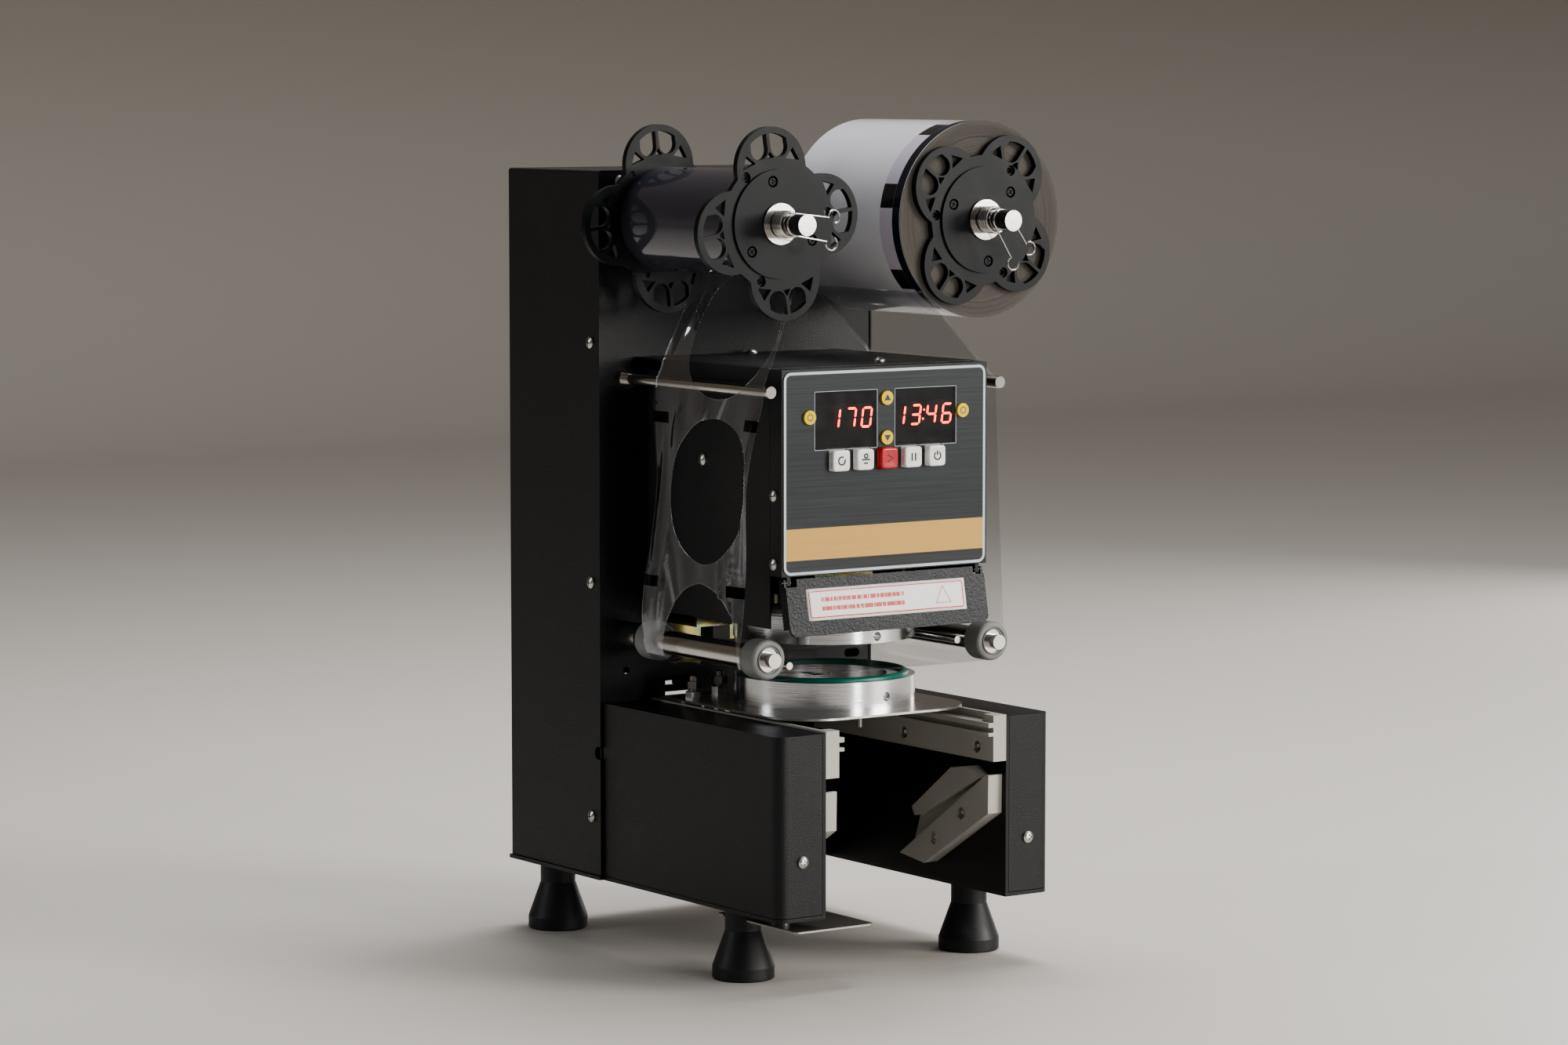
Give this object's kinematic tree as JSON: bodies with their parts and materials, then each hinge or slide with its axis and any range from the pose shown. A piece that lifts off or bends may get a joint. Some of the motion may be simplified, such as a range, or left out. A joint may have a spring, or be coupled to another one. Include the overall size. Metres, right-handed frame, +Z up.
{
  "type": "cup sealing machine",
  "caption": "Desktop machine that heat-seals film from a reel onto cups: column with reels, head with control panel and press, and a sliding cup tray between two legs.",
  "frame": {"origin": "on the table under the middle of the machine's footprint", "axes": "+Z up, -Y to the front where the cups go in, +X to the right of a person facing the front"},
  "size_m": [0.2961, 0.3317, 0.5645],
  "materials": {
    "black_paint": "fine textured powder coat",
    "guide_grey": "sand-blasted",
    "stainless": "polished",
    "zinc_yellow": "yellow zinc plating",
    "alloy": "turned, matte",
    "roller_grey": "matte",
    "foot_rubber": "matte",
    "seal_rubber": "satin",
    "reel_plastic": "moulded, satin",
    "film_wound": "glossy",
    "film_clear": "clear",
    "panel_film": "satin overlay",
    "window_dark": "smoked",
    "board_green": "lacquered",
    "motor_grey": "satin",
    "switch_black": "moulded",
    "cap_white": "moulded",
    "cap_red": "moulded",
    "key_amber": "moulded",
    "heater_alloy": "machined"
  },
  "bodies": {
    "chassis": {"base_pan": "black_paint", "leg_covers": "black_paint", "leg_plates": "black_paint", "column_front_plate": "black_paint", "column_cover": "black_paint", "column_back_panel": "black_paint", "rubber_feet": "foot_rubber", "tray_rails": "guide_grey", "lift_guides": "guide_grey", "fasteners": "stainless", "under_plate": "stainless", "head_frame": "black_paint", "head_cover": "black_paint", "head_front_plate": "black_paint", "control_panel": "panel_film", "display_windows": "window_dark", "circuit_boards": "board_green", "fixed_rods": "stainless", "press_motor": "motor_grey", "gear_motors": "motor_grey", "shaft_bearings": "alloy", "limit_switches": "switch_black", "sensor_bracket": "zinc_yellow", "power_inlet": "switch_black", "film_web": "film_clear"},
    "tray": {"tray_plate": "stainless", "cup_ring": "alloy", "cup_ring_seal": "seal_rubber", "tray_runners": "alloy", "tray_rack": "stainless", "tray_bolts": "stainless"},
    "press": {"press_carriage": "zinc_yellow", "heater_block": "heater_alloy", "die_ring": "alloy", "cutter_ring": "stainless"},
    "press_crank_body": {"press_crank": "stainless"},
    "pinion": {"tray_pinion": "stainless"},
    "guard": {"guard_flap": "black_paint"},
    "takeup_reel": {"takeup_spindle": "stainless", "takeup_flanges": "reel_plastic", "takeup_film_roll": "film_wound", "takeup_lock": "stainless"},
    "supply_reel": {"supply_spindle": "stainless", "supply_flanges": "reel_plastic", "supply_film_roll": "film_wound", "supply_lock": "stainless"},
    "left_roller": {"left_film_roller": "stainless", "left_roller_wheels": "roller_grey"},
    "right_roller": {"right_film_roller": "stainless", "right_roller_wheels": "roller_grey"},
    "rocker": {"mains_rocker": "cap_red"},
    "auto_button_cap": {"auto_button": "cap_white"},
    "film_button_cap": {"film_button": "cap_white"},
    "start_button_cap": {"start_button": "cap_red"},
    "pause_button_cap": {"pause_button": "cap_white"},
    "power_button_cap": {"power_button": "cap_white"},
    "setup_key_cap": {"setup_key": "key_amber"},
    "up_key_cap": {"up_key": "key_amber"},
    "down_key_cap": {"down_key": "key_amber"},
    "counter_key_cap": {"counter_key": "key_amber"}
  },
  "joints": [
    {"name": "tray_slide", "type": "slide", "parent": "chassis", "child": "tray", "axis": [0, -1, 0], "range_m": [0, 0.12]},
    {"name": "tray_pinion_spin", "type": "hinge", "parent": "chassis", "child": "pinion", "pos_m": [-0.051, 0.01925, 0.132], "axis": [1, 0, 0], "range_deg": [-2, 462]},
    {"name": "press_slide", "type": "slide", "parent": "chassis", "child": "press", "axis": [0, 0, -1], "range_m": [0, 0.0175]},
    {"name": "press_crank_turn", "type": "hinge", "parent": "chassis", "child": "press_crank_body", "pos_m": [0, -0.04775, 0.29], "axis": [0, 1, 0], "range_deg": [-1, 61]},
    {"name": "guard_hinge", "type": "hinge", "parent": "chassis", "child": "guard", "pos_m": [0, -0.12315, 0.2638], "axis": [-1, 0, 0], "range_deg": [0, 60]},
    {"name": "supply_spin", "type": "hinge", "parent": "chassis", "child": "supply_reel", "pos_m": [0.0834, -0.05275, 0.4985], "axis": [0, -1, 0], "continuous": true},
    {"name": "takeup_spin", "type": "hinge", "parent": "chassis", "child": "takeup_reel", "pos_m": [-0.0834, -0.05275, 0.4985], "axis": [0, -1, 0], "continuous": true},
    {"name": "left_roller_spin", "type": "hinge", "parent": "chassis", "child": "left_roller", "pos_m": [-0.0918, -0.05275, 0.2142], "axis": [0, -1, 0], "continuous": true},
    {"name": "right_roller_spin", "type": "hinge", "parent": "chassis", "child": "right_roller", "pos_m": [0.0918, -0.05275, 0.2142], "axis": [0, -1, 0], "continuous": true},
    {"name": "mains_rocker_tilt", "type": "hinge", "parent": "chassis", "child": "rocker", "pos_m": [0.0707, 0.15975, 0.0922], "axis": [-1, 0, 0], "range_deg": [0, 12]},
    {"name": "auto_button_press", "type": "slide", "parent": "chassis", "child": "auto_button_cap", "axis": [0, 1, 0], "range_m": [0, 0.0015], "stiffness_N_per_m": 400, "springref_m": -0.001},
    {"name": "film_button_press", "type": "slide", "parent": "chassis", "child": "film_button_cap", "axis": [0, 1, 0], "range_m": [0, 0.0015], "stiffness_N_per_m": 400, "springref_m": -0.001},
    {"name": "start_button_press", "type": "slide", "parent": "chassis", "child": "start_button_cap", "axis": [0, 1, 0], "range_m": [0, 0.0015], "stiffness_N_per_m": 400, "springref_m": -0.001},
    {"name": "pause_button_press", "type": "slide", "parent": "chassis", "child": "pause_button_cap", "axis": [0, 1, 0], "range_m": [0, 0.0015], "stiffness_N_per_m": 400, "springref_m": -0.001},
    {"name": "power_button_press", "type": "slide", "parent": "chassis", "child": "power_button_cap", "axis": [0, 1, 0], "range_m": [0, 0.0015], "stiffness_N_per_m": 400, "springref_m": -0.001},
    {"name": "setup_key_press", "type": "slide", "parent": "chassis", "child": "setup_key_cap", "axis": [0, 1, 0], "range_m": [0, 0.0008], "stiffness_N_per_m": 600, "springref_m": -0.001},
    {"name": "up_key_press", "type": "slide", "parent": "chassis", "child": "up_key_cap", "axis": [0, 1, 0], "range_m": [0, 0.0008], "stiffness_N_per_m": 600, "springref_m": -0.001},
    {"name": "down_key_press", "type": "slide", "parent": "chassis", "child": "down_key_cap", "axis": [0, 1, 0], "range_m": [0, 0.0008], "stiffness_N_per_m": 600, "springref_m": -0.001},
    {"name": "counter_key_press", "type": "slide", "parent": "chassis", "child": "counter_key_cap", "axis": [0, 1, 0], "range_m": [0, 0.0008], "stiffness_N_per_m": 600, "springref_m": -0.001}
  ],
  "couplings": [
    {"joint": "tray_pinion_spin", "follows": "tray_slide", "rad_per_m": 66.667},
    {"joint": "press_crank_turn", "follows": "press_slide", "rad_per_m": 59.84},
    {"joint": "takeup_spin", "follows": "supply_spin", "ratio": 1.8857},
    {"joint": "left_roller_spin", "follows": "supply_spin", "ratio": -4.9811},
    {"joint": "right_roller_spin", "follows": "supply_spin", "ratio": -4.9811}
  ]
}
